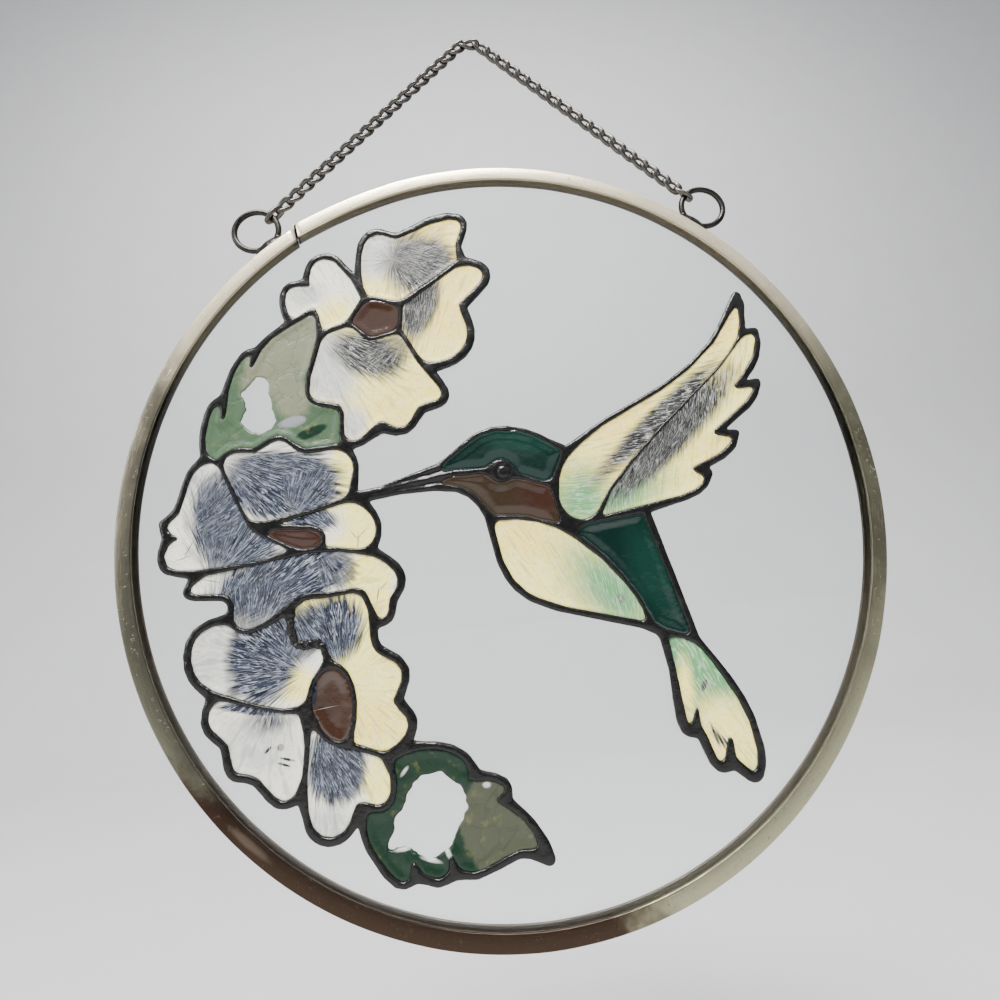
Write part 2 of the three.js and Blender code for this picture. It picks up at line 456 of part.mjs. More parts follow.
function chainRoute() {
  const centre = new THREE.Vector2(loopCentre * Math.sin(loopAngle), loopCentre * Math.cos(loopAngle));
  const half = (chain.links * chain.pitch) / 2;
  // Slope found by halving: the straight part and the bend together take up half the chain.
  const lengthFor = (slope) => {
    const startX = centre.x - Math.cos(slope) * (loop.radius - firstLink + linkReach - chain.pitch / 2);
    return (startX - chain.bend * Math.sin(slope)) / Math.cos(slope) + chain.bend * slope;
  };
  let [low, high] = [0.1, 1.4];
  for (let i = 0; i < 40; i++) {
    const mid = (low + high) / 2;
    if (lengthFor(mid) < half) low = mid;
    else high = mid;
  }
  const slope = (low + high) / 2;
  const along = loop.radius - firstLink + linkReach - chain.pitch / 2;
  const start = new THREE.Vector2(centre.x - Math.cos(slope) * along, centre.y + Math.sin(slope) * along);
  const straight = half - chain.bend * slope;
  const top = start.y + straight * Math.sin(slope) + chain.bend * (1 - Math.cos(slope));
  return { half, slope, straight, top };
}

const route = chainRoute();
const drop = route.top - chain.width / 2;   // from the hanging point down to the disc's centre

// Place and slope on the chain at a distance along it from the middle, positive to the right.
function onChain(distance) {
  const side = Math.sign(distance) || 1;
  const s = Math.abs(distance);
  const arc = chain.bend * route.slope;
  const turn = Math.min(s, arc) / chain.bend;
  const run = Math.max(0, s - arc);
  const x = chain.bend * Math.sin(turn) + run * Math.cos(turn);
  const z = route.top - chain.bend * (1 - Math.cos(turn)) - run * Math.sin(turn);
  return { x: side * x, z, slope: -side * turn };
}

// A curb link: an oval of wire twisted along its length, so that neighbours cross squarely.
class LinkCurve extends THREE.Curve {
  constructor(twistStart, twistEnd) {
    super();
    this.twist = [twistStart, twistEnd];
  }

  getPoint(t, target = new THREE.Vector3()) {
    const angle = 2 * Math.PI * t + Math.PI / chain.steps;   // straight wire at both ends
    const along = linkReach * Math.cos(angle);
    const across = ((chain.width - chain.wire) / 2) * Math.sign(Math.sin(angle))
      * Math.abs(Math.sin(angle)) ** 0.75;
    const roll = THREE.MathUtils.lerp(this.twist[0], this.twist[1], (along / linkReach + 1) / 2);
    return target.set(along, across * Math.sin(roll), across * Math.cos(roll));
  }
}

function chainSolid() {
  const eighth = Math.PI / 4;
  const links = [];
  for (let i = 0; i < chain.links; i++) {
    // Most links twist by a quarter turn. The end links lie square to their loops and twist by half that.
    let twist = [eighth, -eighth];
    if (i === 0) twist = [2 * eighth, 3 * eighth];
    if (i === chain.links - 1) twist = [eighth, 2 * eighth];
    const { x, z, slope } = onChain((i - (chain.links - 1) / 2) * chain.pitch);
    const wire = new THREE.TubeGeometry(new LinkCurve(...twist), chain.steps, chain.wire / 2,
      chain.sides, true);
    links.push(toSolid(wire.rotateY(-slope).translate(x, 0, z)));
  }
  return toGeometry(wasm.Manifold.union(links).asOriginal().simplify(0.03));
}

// ---------- the object ----------
const suncatcher = new THREE.Group();

function add(name, geometry, material) {
  const mesh = new THREE.Mesh(geometry, material);
  mesh.name = name;
  mesh.position.z = -drop;
  suncatcher.add(mesh);
}

const field = leadField();
const cells = contours(field, picture.inset);
add('channel_frame', channelFrame(), champagne);
add('glass_disc', glassDisc(), clear);
add('leading', leading(field), black);
for (const [name, seed, material, wear] of fills) add(name, fillPiece(cells, seed, wear), material);
add('loop_left', hangingLoop(-1), gunmetal);
add('loop_right', hangingLoop(1), gunmetal);
add('chain', chainSolid(), gunmetal);

export default suncatcher;
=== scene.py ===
import math
import bmesh
import bpy
from mathutils import Matrix, Vector, noise
from mathutils.bvhtree import BVHTree


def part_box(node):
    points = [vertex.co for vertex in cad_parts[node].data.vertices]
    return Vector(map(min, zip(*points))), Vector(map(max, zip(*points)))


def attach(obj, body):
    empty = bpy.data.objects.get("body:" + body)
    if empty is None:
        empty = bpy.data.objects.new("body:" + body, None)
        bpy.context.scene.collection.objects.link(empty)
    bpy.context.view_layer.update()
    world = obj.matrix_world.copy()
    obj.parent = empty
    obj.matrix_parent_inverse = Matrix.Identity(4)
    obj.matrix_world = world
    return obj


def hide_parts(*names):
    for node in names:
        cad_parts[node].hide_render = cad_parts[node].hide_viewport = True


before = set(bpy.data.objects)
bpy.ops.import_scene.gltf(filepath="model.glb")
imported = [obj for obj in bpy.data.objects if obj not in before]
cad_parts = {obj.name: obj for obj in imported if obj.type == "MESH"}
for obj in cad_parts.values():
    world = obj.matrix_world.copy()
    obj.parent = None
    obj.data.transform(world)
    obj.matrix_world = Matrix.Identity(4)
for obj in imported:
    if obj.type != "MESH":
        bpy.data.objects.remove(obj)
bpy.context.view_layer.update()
scene = bpy.context.scene

# ---------- sizes, in millimetres and degrees ----------
MM = 0.001
HANG_TURN = math.radians(4.2)            # the picture's turn about the disc's centre as it hangs
DISC_RADIUS = 82.5
GLASS_FRONT = -1.5
CHANNEL = {"depth": 5.0, "flange": 3.3, "wall": 0.7, "corner": 0.4, "lip": 0.22, "steps": 300}
SEAM = {"angle": -34.4, "gap": 0.45, "step_out": 0.75, "blend": 14.0, "slant": 0.45}
LOOP = {"angle": 38.8, "radius": 5.3, "wire": 1.5, "gap": 0.3}
LOOP_CENTRE = DISC_RADIUS + LOOP["gap"] + LOOP["radius"] + LOOP["wire"] / 2
SOLDER = (4.6, 1.7, 2.3)                 # half lengths along the rim, through it and outwards
LINK = {"count": 41, "pitch": 3.6, "width": 3.4, "wire": 1.2, "bend": 5.0}
LINE_DEPTHS = (-1.25, -2.58)             # back and front of the black lines, the back in the glass
PAINT_DEPTHS = (-1.3, -2.05)
KNOT = {"x": -41.0, "y": -27.0, "spread": 34.0}      # where the lines inside the blossoms run together
EYE = {"x": -1.8, "y": 5.5, "radius": 2.8, "pupil_x": -1.2, "pupil_y": 5.2, "pupil": 1.45}
BEAK = {"x": -32.0, "y": 0.4, "length": 17.0, "rise": 3.9}

glass_low, glass_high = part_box("glass_disc")
CENTRE = (glass_low + glass_high) / 2 / MM


def on_picture(place):
    """The picture's own x and y of a point of the part, in millimetres."""
    c, s = math.cos(HANG_TURN), math.sin(HANG_TURN)
    x, z = place.x, place.z - CENTRE.z
    return x * c - z * s, x * s + z * c


# ---------- shader writing ----------
class Value:
    """A socket on which Python's arithmetic adds Math nodes."""

    def __init__(self, finish, socket):
        self.finish = finish
        self.socket = socket

    def __add__(self, other):
        return self.finish.math("ADD", self, other)

    def __radd__(self, other):
        return self.finish.math("ADD", other, self)

    def __sub__(self, other):
        return self.finish.math("SUBTRACT", self, other)

    def __rsub__(self, other):
        return self.finish.math("SUBTRACT", other, self)

    def __mul__(self, other):
        return self.finish.math("MULTIPLY", self, other)

    def __rmul__(self, other):
        return self.finish.math("MULTIPLY", other, self)

    def __truediv__(self, other):
        return self.finish.math("DIVIDE", self, other)


class Finish:
    """A material under construction. Lengths inside it are millimetres on the picture."""

    def __init__(self, name, **constants):
        self.material = bpy.data.materials.new(name)
        self.material.use_nodes = True
        self.tree = self.material.node_tree
        self.shader = self.tree.nodes["Principled BSDF"]
        for word, value in constants.items():
            self.shader.inputs[word.replace("_", " ")].default_value = value
        place = self.node("ShaderNodeTexCoord", output="Object")
        apart = self.node("ShaderNodeSeparateXYZ", inputs={"Vector": place}, output=None)
        x, self.depth, z = (Value(self, socket) * (1 / MM) for socket in apart.outputs)
        z = z - CENTRE.z
        c, s = math.cos(HANG_TURN), math.sin(HANG_TURN)
        self.x = x * c - z * s
        self.y = x * s + z * c
        self.spot = self.vector(self.x, self.y, self.depth)

    def node(self, kind, settings=None, inputs=None, output=0):
        made = self.tree.nodes.new(kind)
        for word, value in (settings or {}).items():
            setattr(made, word, value)
        for word, value in (inputs or {}).items():
            if isinstance(value, Value):
                self.tree.links.new(value.socket, made.inputs[word])
            else:
                made.inputs[word].default_value = value
        return made if output is None else Value(self, made.outputs[output])

    def math(self, operation, *values):
        return self.node("ShaderNodeMath", {"operation": operation}, dict(enumerate(values)))

    def vector(self, x, y, z=0.0):
        return self.node("ShaderNodeCombineXYZ", inputs={"X": x, "Y": y, "Z": z})

    def soft(self, value, low, high):
        """0 below low, 1 above high, and a smooth rise between them."""
        return self.node("ShaderNodeMapRange", {"interpolation_type": "SMOOTHSTEP"},
                         {"Value": value, "From Min": low, "From Max": high})

    def fall(self, value, low, high):
        return 1.0 - self.soft(value, low, high)

    def grain(self, size, detail=3.0, rough=0.55, place=None):
        """Noise from 0 to 1 with features of about that size."""
        return self.node("ShaderNodeTexNoise", None,
                         {"Vector": place or self.spot, "Scale": 1.0 / size, "Detail": detail,
                          "Roughness": rough})

    def mix(self, amount, first, second):
        """The first colour, with an amount of the second over it."""
        made = self.node("ShaderNodeMix", {"data_type": "RGBA"}, {0: amount}, None)
        for slot, colour in ((6, first), (7, second)):
            if isinstance(colour, Value):
                self.tree.links.new(colour.socket, made.inputs[slot])
            else:
                made.inputs[slot].default_value = (*colour, 1.0)
        return Value(self, made.outputs[2])

    def patch(self, x, y, wide, high, turn, blur, ragged, rough=0.9):
        """A soft oval, 1 inside and 0 outside, with an edge made ragged by a pattern."""
        c, s = math.cos(math.radians(turn)), math.sin(math.radians(turn))
        across, up = self.x - x, self.y - y
        first = (across * c + up * s) / wide
        second = (up * c - across * s) / high
        far = self.math("SQRT", first * first + second * second) + (ragged - 0.5) * rough
        return self.fall(far, 1.0 - blur, 1.0 + blur)

    def streaks(self, x, y, reach, size=0.40, long=6.0):
        """Streaks that fan out from a point, as wide as size at that reach, with values from 0 to 1."""
        across, up = self.x - x, self.y - y
        turn = self.math("ARCTAN2", up, across)
        far = self.math("SQRT", across * across + up * up)
        bend = (self.grain(5.0, 1.0) - 0.5) * (0.7 / reach)
        return self.grain(1.0, 2.0, 0.5, self.vector((turn + bend) * (reach / size), far / long))

    def lines(self, streaks, width):
        """Thin bright lines where a set of streaks passes its middle value."""
        return self.fall(self.math("ABSOLUTE", streaks - 0.5), width * 0.25, width)

    def bump(self, height, distance):
        made = self.node("ShaderNodeBump", None, {"Height": height, "Distance": distance * MM})
        self.drive("Normal", made)

    def drive(self, word, value):
        self.tree.links.new(value.socket, self.shader.inputs[word])


# ---------- paint colours ----------
SILVER = (0.46, 0.46, 0.44)
WHITE = (0.75, 0.74, 0.63)
CREAM = (0.95, 0.75, 0.165)
PALE_CREAM = (0.98, 0.86, 0.225)
ASH = (0.20, 0.21, 0.22)
NEEDLE = (0.42, 0.46, 0.54)
PALE_NEEDLE = (0.50, 0.50, 0.46)
SLATE = (0.0036, 0.0050, 0.0105)
SLATE_LIGHT = (0.011, 0.0155, 0.032)
INK = (0.0045, 0.0048, 0.0060)
INK_LIGHT = (0.018, 0.0195, 0.024)
MINT = (0.085, 0.29, 0.100)
SAGE = (0.050, 0.090, 0.048)
OLIVE = (0.150, 0.160, 0.105)
DARK_OLIVE = (0.046, 0.052, 0.031)
DEEP_GREEN = (0.0014, 0.0120, 0.0085)
CROWN_GREEN = (0.0036, 0.0250, 0.0170)
LEAF_GREEN = (0.0012, 0.0165, 0.0060)
BROWN = (0.026, 0.0165, 0.0090)
TAN_BROWN = (0.031, 0.0145, 0.0080)
RED_BROWN = (0.030, 0.0125, 0.0080)

# ---------- metal and paste colours ----------
CHAMPAGNE = (0.84, 0.71, 0.47)
CHAMPAGNE_LIGHT = (0.98, 0.88, 0.64)
# the next four tones: partly the plating's real tone, tarnish and wear, partly painted shade on the sides
# and low down
OLIVE_METAL = (0.27, 0.272, 0.178)
SIDE_WEAR_AND_SHADE = (0.11, 0.095, 0.070)
LEFT_WEAR_AND_SHADE = (0.115, 0.112, 0.085)
BROWN_WEAR_AND_SHADE = (0.031, 0.0150, 0.0112)
# a painted highlight: pale tan
TAN_HIGHLIGHT = (0.13, 0.10, 0.075)
# painted shade for the frame's edges
EDGE_SHADE = (0.030, 0.023, 0.017)
# painted shade inside the channel: lighter low down, darker high up
INSIDE_SHADE_LOW = (0.15, 0.125, 0.095)
INSIDE_SHADE_HIGH = (0.020, 0.016, 0.013)
PIT_BROWN = (0.085, 0.062, 0.042)
# painted shade in the seam's gap
SEAM_GAP_SHADE = (0.004, 0.0035, 0.003)
CHAIN_SHADES = ((0.036, 0.033, 0.030), (0.15, 0.14, 0.13))
RING_SHADES = ((0.012, 0.011, 0.010), (0.060, 0.055, 0.050))
PASTE_SHADES = ((0.003, 0.0028, 0.0026), (0.010, 0.0088, 0.0080))

# ---------- the painted fills ----------
# Every fill: record slot, base colour, kind of surface, soft colour patches (colour, x, y, half width,
# half height, turn, blur) and fans of needles (x, y of the fan's root, then the patch they fill).
FILLS = {
    "bloom_top_left_petal": ("pearl_paint", WHITE, "pearl", [
        (PALE_CREAM, -40, 42, 5, 4, 0, 0.8), (SILVER, -47, 47, 4, 3, 0, 0.7)], []),
    "bloom_top_upper_petal": ("pearl_paint", CREAM, "pearl", [
        (SILVER, -30.5, 58, 5.5, 8, -8, 0.5), (PALE_CREAM, -29.5, 48.5, 5, 3, 0, 0.6)],
        [(-27, 56.5, -20.6, 55.4, 7.4, 7.6, -30), (-38, 63, -19.5, 56.5, 6.2, 4.4, -22)]),
    "bloom_top_right_petal": ("pearl_paint", CREAM, "pearl", [
        (PALE_CREAM, -17, 33, 6, 4, 0, 0.6)],
        [(-26, 8, -20.6, 44.8, 3.6, 8.4, -14), (-16, 80, -19.4, 46.5, 3.4, 6.0, -10)]),
    "bloom_top_lower_petal": ("pearl_paint", PALE_CREAM, "pearl", [
        (SILVER, -40.5, 29, 6.5, 10, 10, 0.5), (SILVER, -34.5, 16, 3.5, 4, 0, 0.6),
        (CREAM, -24, 21, 6, 6, 0, 0.6), (CREAM, -19, 24, 4, 4, 0, 0.6)],
        [(-46, 40, -31.8, 32.4, 7.6, 4.6, -24), (-21.5, 38.5, -27.0, 33.2, 4.8, 3.4, 26)]),
    "bloom_top_centre": ("brown_paint", TAN_BROWN, "gloss", [
        (RED_BROWN, -33, 44.4, 3.6, 1.2, 30, 0.5)], []),
    "bloom_middle_upper_petal": ("slate_paint", WHITE, "pearl", [
        (PALE_CREAM, -36.2, 5.6, 2.8, 6.5, 0, 0.4)],
        [(-62.5, 8, -49.0, 2.8, 12.0, 6.8, -3), (-47.5, -7, -43.0, 2.0, 5.0, 4.6, 0),
         (-90, 16, -49.0, 7.4, 9.0, 1.7, -3)]),
    "bloom_middle_left_petal": ("slate_paint", WHITE, "pearl", [
        (SILVER, -67, 3, 3, 4, 0, 0.6), (SLATE, -66.8, -10.6, 1.7, 0.10, 66, 0.6),
        (SLATE, -67.6, -12.4, 1.5, 0.08, 20, 0.6)],
        [(-61.5, -17, -57.4, -5.8, 8.6, 10.2, 24), (-74, -15, -61.0, -1.0, 5.0, 7.0, -10)]),
    "bloom_middle_right_petal": ("pearl_paint", PALE_CREAM, "pearl", [
        (WHITE, -38, -6.2, 3.0, 3.4, 0, 0.7), (SLATE, -32.0, -9.2, 1.4, 0.10, 90, 0.6),
        (SLATE, -31.2, -7.6, 1.3, 0.08, 48, 0.6), (SLATE, -33.0, -7.9, 1.2, 0.08, 135, 0.6)],
        [(-34.5, -8.2, -42.6, -4.4, 5.2, 2.4, -8)]),
    "bloom_middle_lower_petal": ("slate_paint", WHITE, "pearl", [
        (PALE_CREAM, -29.5, -17.0, 5.0, 5.6, 0, 0.3), (PALE_CREAM, -27.2, -22.5, 3.0, 4.0, 0, 0.3),
        (SLATE, -27.4, -20.0, 1.5, 0.10, 84, 0.6), (SLATE, -26.4, -18.4, 1.2, 0.08, 48, 0.6),
        (SLATE, -61.5, -17.0, 2.0, 0.08, -10, 0.6)],
        [(-60.5, -28, -47.6, -17.0, 12.2, 5.8, 14), (-41, -9.5, -35.8, -15.0, 3.6, 3.4, -35),
         (-53, -34, -52, -22.0, 5.4, 4.6, 30)]),
    "bloom_middle_centre": ("brown_paint", RED_BROWN, "gloss", [], []),
    "bloom_lower_upper_petal": ("slate_paint", WHITE, "pearl", [
        (PALE_CREAM, -42.4, -37, 3.4, 3.2, 0, 0.5), (SILVER, -60, -31, 4.6, 7, 0, 0.6),
        (SLATE_LIGHT, -55.0, -30, 1.6, 5.5, 0, 0.9)],
        [(-40.5, -34.8, -49.4, -31.6, 6.2, 8.4, -8), (-46, -36, -42.2, -28, 3.4, 4.0, 0)]),
    "bloom_lower_right_petal": ("pearl_paint", PALE_CREAM, "pearl", [
        (CREAM, -27, -44, 5, 4, 0, 0.6), (SLATE, -42.6, -26.6, 2.6, 3.2, 20, 0.5)],
        [(-33.5, -37, -36.2, -26.6, 5.6, 5.8, -20), (-48, -17, -41.6, -25.6, 3.4, 3.4, 0)]),
    "bloom_lower_left_petal": ("pearl_paint", WHITE, "pearl", [
        (SILVER, -50, -47, 7, 5.0, -20, 0.8), (SLATE_LIGHT, -47.4, -43.4, 3.6, 1.8, 0, 0.9),
        (SLATE, -44.9, -48.0, 0.6, 0.65, 0, 0.3), (SLATE, -43.4, -50.1, 1.5, 0.24, -12, 0.3),
        (SLATE, -44.0, -51.0, 1.3, 0.22, -14, 0.3), (SLATE, -47.2, -48.4, 0.9, 0.28, 45, 0.3)],
        [(-46, -36, -50.5, -41.2, 6.4, 0.9, -5)]),
    "bloom_lower_bottom_petal": ("slate_paint", WHITE, "pearl", [
        (PALE_CREAM, -25.6, -54.0, 3.4, 4.6, 0, 0.35), (SILVER, -35, -61, 4.4, 2.4, 0, 0.6)],
        [(-37, -36, -34.4, -51.4, 5.0, 6.0, 15), (-44, -40, -33, -52.4, 4.2, 4.4, 0)]),
    "bloom_lower_centre": ("brown_paint", TAN_BROWN, "gloss", [
        (SLATE, -38.9, -38.8, 0.40, 2.4, 0, 0.2), (ASH, -36.6, -41.2, 1.6, 0.05, 10, 0.9)], []),
    "leaf_upper": ("sage_paint", SAGE, "leaf", [
        (OLIVE, -50.5, 32.5, 6.6, 12.4, -38, 0.18), (OLIVE, -48, 22, 4.0, 4.4, 0, 0.3),
        (ASH, -47.6, 16.6, 2.8, 1.2, 12, 0.2), (LEAF_GREEN, -43.4, 14.3, 3.3, 1.2, 24, 0.2)], []),
    "leaf_lower": ("deep_green_paint", LEAF_GREEN, "leaf", [
        (DARK_OLIVE, -2.6, -61.8, 7.6, 8.8, 24, 0.06), (SILVER, -5.2, -55.2, 0.7, 0.5, 0, 0.5),
        (SILVER, -20.8, -65.6, 1.5, 0.32, 8, 0.5), (SILVER, -15.6, -67.4, 1.7, 0.36, -14, 0.5),
        (SILVER, -12.4, -66.4, 0.4, 1.1, 30, 0.5), (SILVER, -21.0, -52.6, 0.9, 0.3, 50, 0.6)], []),
    "bird_crown": ("deep_green_paint", DEEP_GREEN, "gloss", [
        (CROWN_GREEN, 3, 12, 8.5, 2.2, -6, 0.6)], []),
    "bird_throat": ("brown_paint", BROWN, "gloss", [
        (RED_BROWN, 6.5, 0, 4, 4, 0, 0.7)], []),
    "bird_belly": ("pearl_paint", PALE_CREAM, "pearl", [
        (CREAM, 4, -9, 7, 3.4, -20, 0.7), (MINT, 21.5, -20.0, 12.0, 6.2, -42, 0.75),
        (SAGE, 23.0, -21.5, 1.0, 0.8, 0, 0.8)], []),
    "bird_back": ("deep_green_paint", DEEP_GREEN, "gloss", [
        (CROWN_GREEN, 30, -16, 4, 9, 20, 0.7)], []),
    "bird_tail": ("mint_paint", MINT, "pearl", [
        (PALE_CREAM, 42, -48.5, 9, 7.4, 0, 0.5), (PALE_CREAM, 35, -39, 1.6, 5, 0, 0.7),
        (SLATE, 38.9, -38.4, 1.25, 0.50, 62, 0.25), (SLATE, 40.2, -47.6, 0.32, 2.1, 20, 0.5),
        (SLATE, 41.2, -48.4, 0.30, 1.9, 25, 0.5), (SLATE, 42.2, -49.0, 0.24, 1.5, 28, 0.5)], []),
    "bird_wing_upper": ("pearl_paint", CREAM, "pearl", [
        (PALE_CREAM, 41, 28, 10, 6, 42, 0.6), (PALE_CREAM, 17, 10, 5, 3, 30, 0.6),
        (MINT, 15.8, -0.8, 6.6, 7.4, -20, 0.8)],
        [(-170, -20, 33.8, 17.0, 17.5, 2.3, 43)]),
    "bird_wing_lower": ("mint_paint", PALE_CREAM, "pearl", [
        (MINT, 24.6, 0.8, 10.5, 5.6, 28, 0.8), (CREAM, 45, 9, 6, 4, 30, 0.6)],
        [(10, -160, 37.2, 14.4, 19.0, 3.9, 43), (-60, -150, 33.5, 9.5, 13.0, 2.6, 43)]),
}


def cell_edges(finish, shift, scale):
    """Distance from the edges of large uneven cells, for cracks and flakes."""
    return finish.node("ShaderNodeTexVoronoi", {"feature": "DISTANCE_TO_EDGE"},
                       {"Vector": finish.vector(finish.x + shift, finish.y + shift), "Scale": scale})


def brush_marks(finish, tint, fine, fans, patches):
    """Grey strokes, white hairs and fine specks over the whole of a pearl fill."""
    x, y = patches[0][1:3]
    root_x, root_y, x, y = fans[0][:4] if fans else (x + 24.0, y - 36.0, x, y)
    strokes = finish.streaks(root_x, root_y, math.hypot(x - root_x, y - root_y), 0.6)
    tint = finish.mix(finish.soft(strokes, 0.52, 0.70) * 0.42, tint, ASH)
    tint = finish.mix(finish.lines(strokes, 0.05) * 0.35, tint, WHITE)
    specks = finish.fall(finish.grain(0.6, 3.0, 0.8), 0.36, 0.46)
    tint = finish.mix(specks * 0.30, tint, ASH)
    return finish.mix(finish.soft(fine, 0.48, 0.74) * 0.22, tint, ASH)


def needle_fan(finish, tint, cloud, fan, first, blue):
    """A dark area crossed by thin bright needles. Gives the new colour and the needles' height."""
    root_x, root_y, x, y, wide, high, turn = fan
    spread = 1.12
    dark, light, needle, strength, blur = ((SLATE, SLATE_LIGHT, NEEDLE, 0.66, 0.22) if blue
                                           else (INK, INK_LIGHT, PALE_NEEDLE, 0.84, 0.34))
    reach = max(2.0, math.hypot(x - root_x, y - root_y))
    streaks = finish.streaks(root_x, root_y, reach)
    hairs = finish.streaks(root_x, root_y, reach, 0.24, 4.0)
    area = finish.patch(x, y, wide * spread, high * spread, turn, blur, streaks, 0.8)
    shade = finish.mix(finish.soft(cloud, 0.40, 0.66), dark, light)
    tint = finish.mix(area * (1.0 if first else 0.8), tint, shade)
    tint = finish.mix(finish.lines(streaks, 0.028) * area * (strength if first else 0.45), tint, needle)
    tint = finish.mix(finish.lines(hairs, 0.016) * area * 0.35, tint, needle)
    return tint, streaks * area * 0.6


def paint_finish(name, base, kind, patches, fans):
    """Glass paint: pearl with needles, thick gloss, or thin flaking leaf paint."""
    gloss = kind == "gloss"
    finish = Finish(name, Roughness=0.1 if gloss else 0.3, IOR=1.5,
                    Specular_IOR_Level=0.5 if gloss else 0.3,
                    Coat_Weight=0.3 if gloss else 0.12, Coat_Roughness=0.06)
    cloud = finish.grain(2.4, 4.0)
    fine = finish.grain(0.28, 3.0, 0.65)
    height = finish.grain(1.6, 3.0) * 0.6
    ragged = cloud * 0.5 + 0.25
    tint = base
    for colour, *oval in patches:
        tint = finish.mix(finish.patch(*oval, ragged), tint, colour)
    if kind == "pearl":
        tint = brush_marks(finish, tint, fine, fans, patches)
        blue = name.startswith(("bloom_middle", "bloom_lower"))
        for rank, fan in enumerate(fans):
            tint, relief = needle_fan(finish, tint, cloud, fan, rank == 0, blue)
            height = height + relief
    elif kind == "leaf":
        flakes = cell_edges(finish, cloud * 5.0, 0.17)
        tint = finish.mix(finish.fall(flakes, 0.0, 0.035) * 0.25, tint, DEEP_GREEN)
        tint = finish.mix(finish.soft(cloud, 0.55, 0.8) * 0.06, tint, PALE_CREAM)
        height = height + finish.soft(flakes, 0.0, 0.12) * 0.3
    else:
        cracks = cell_edges(finish, cloud * 2.0, 0.14)
        tint = finish.mix(finish.fall(cracks, 0.0, 0.010) * 0.10, tint, SLATE_LIGHT)
    finish.drive("Base Color", tint)
    finish.bump(height + fine * (0.05 if gloss else 0.45), 0.12)
    return finish.material


def frame_finish():
    """Champagne plating: cream above, olive to the right, brown below and to the left. This is partly real
    tarnish and wear and partly painted light: painted lighter at the top, with painted shade on the sides
    and low down. Painted shade also darkens the edges, the inside of the channel and the seam's gap, and a
    painted highlight streak lies in the brown.
    """
    finish = Finish("champagne_metal", Metallic=1.0)
    x, y = finish.x, finish.y
    turn = finish.math("ARCTAN2", y, x)
    far = finish.math("SQRT", x * x + y * y)
    drawn = finish.grain(1.0, 4.0, 0.6, finish.vector(turn * 12.0, far * 6.0, finish.depth * 6.0))
    wear_and_shade_noise = finish.grain(9.0, 4.0, 0.6)
    pits = finish.fall(finish.grain(0.7, 3.0, 0.75), 0.30, 0.38)
    tint = finish.mix(finish.soft(drawn, 0.3, 0.7), CHAMPAGNE, CHAMPAGNE_LIGHT)
    # olive on all but the top, where the lighter champagne stays: partly the plating's real tone, partly
    # painted light on the top and painted shade lower down
    olive = finish.fall(y * 0.8 - x * 0.30 + wear_and_shade_noise * 24.0, 6.0, 42.0)
    tint = finish.mix(olive * 0.90, tint, OLIVE_METAL)
    # darker patches on both sides: partly real wear, partly painted shade
    sides = finish.soft(finish.math("ABSOLUTE", x), 70.0, 79.0) * finish.soft(wear_and_shade_noise, 0.3, 0.6)
    tint = finish.mix(sides * 0.55, tint, SIDE_WEAR_AND_SHADE)
    # darker on the left: partly real wear, partly painted shade
    left = finish.soft(x * -0.97 - y * 0.24 + wear_and_shade_noise * 10.0, 66.0, 76.0)
    tint = finish.mix(left * 0.8, tint, LEFT_WEAR_AND_SHADE)
    # brown low down and to the left: partly real tarnish and wear, partly painted shade
    brown = finish.soft(x * -0.29 - y * 0.957 + wear_and_shade_noise * 16.0, 71.0, 80.0)
    tint = finish.mix(brown * 0.95, tint, BROWN_WEAR_AND_SHADE)
    # painted highlight: a pale tan streak in the brown
    tan_highlight = finish.patch(-49.4, -63.7, 4.0, 0.6, -36, 0.6, wear_and_shade_noise)
    tint = finish.mix(tan_highlight * 0.8, tint, TAN_HIGHLIGHT)
    # painted shade: the outer edge darkened in the lower half only, and the inner lip darkened all round
    # where it meets the glass
    outer_edge_shade = finish.soft(far, 82.3, 82.6) * finish.fall(y, 0.0, 50.0)
    edges = finish.fall(far, 79.25, 79.55) * 0.7 + outer_edge_shade
    tint = finish.mix(edges * 0.8, tint, EDGE_SHADE)
    # painted shade inside the channel, darker towards the top than the bottom
    inside = finish.soft(finish.depth, -1.85, -1.65) * finish.fall(far, 82.0, 82.3)
    inside_shade = finish.mix(finish.soft(y, -40.0, 20.0), INSIDE_SHADE_LOW, INSIDE_SHADE_HIGH)
    tint = finish.mix(inside * 0.9, tint, inside_shade)
    tint = finish.mix(pits * 0.8, tint, PIT_BROWN)
    start = math.radians(SEAM["angle"])
    middle = Vector((math.sin(start), 0, math.cos(start))) * (DISC_RADIUS - 1.9)
    seam_x, seam_y = on_picture(middle + Vector((0, 0, CENTRE.z)))
    slope = math.degrees(math.atan2(seam_y, seam_x) - SEAM["slant"])
    # painted shade: the metal at the seam's gap is painted black
    gap = finish.patch(seam_x, seam_y, 3.4, 0.30, slope, 0.3, drawn)
    tint = finish.mix(gap, tint, SEAM_GAP_SHADE)
    finish.drive("Base Color", tint)
    finish.drive("Roughness", 0.22 + drawn * 0.16 + pits * 0.3 + gap * 0.4)
    finish.bump(drawn * 0.5 - pits * 1.2 + wear_and_shade_noise * 0.6 - gap * 3.0, 0.06)
    return finish.material


def paste_finish():
    """The black relief paste of the lines, a little shiny and uneven."""
    finish = Finish("black_paste", Specular_IOR_Level=0.34)
    cloud = finish.grain(1.4, 3.0)
    dusty = finish.soft(cloud, 0.4, 0.8) * 0.5
    finish.drive("Base Color", finish.mix(dusty, *PASTE_SHADES))
    finish.drive("Roughness", 0.16 + cloud * 0.16)
    finish.bump(cloud + finish.grain(0.35, 2.0) * 0.3, 0.10)
    return finish.material


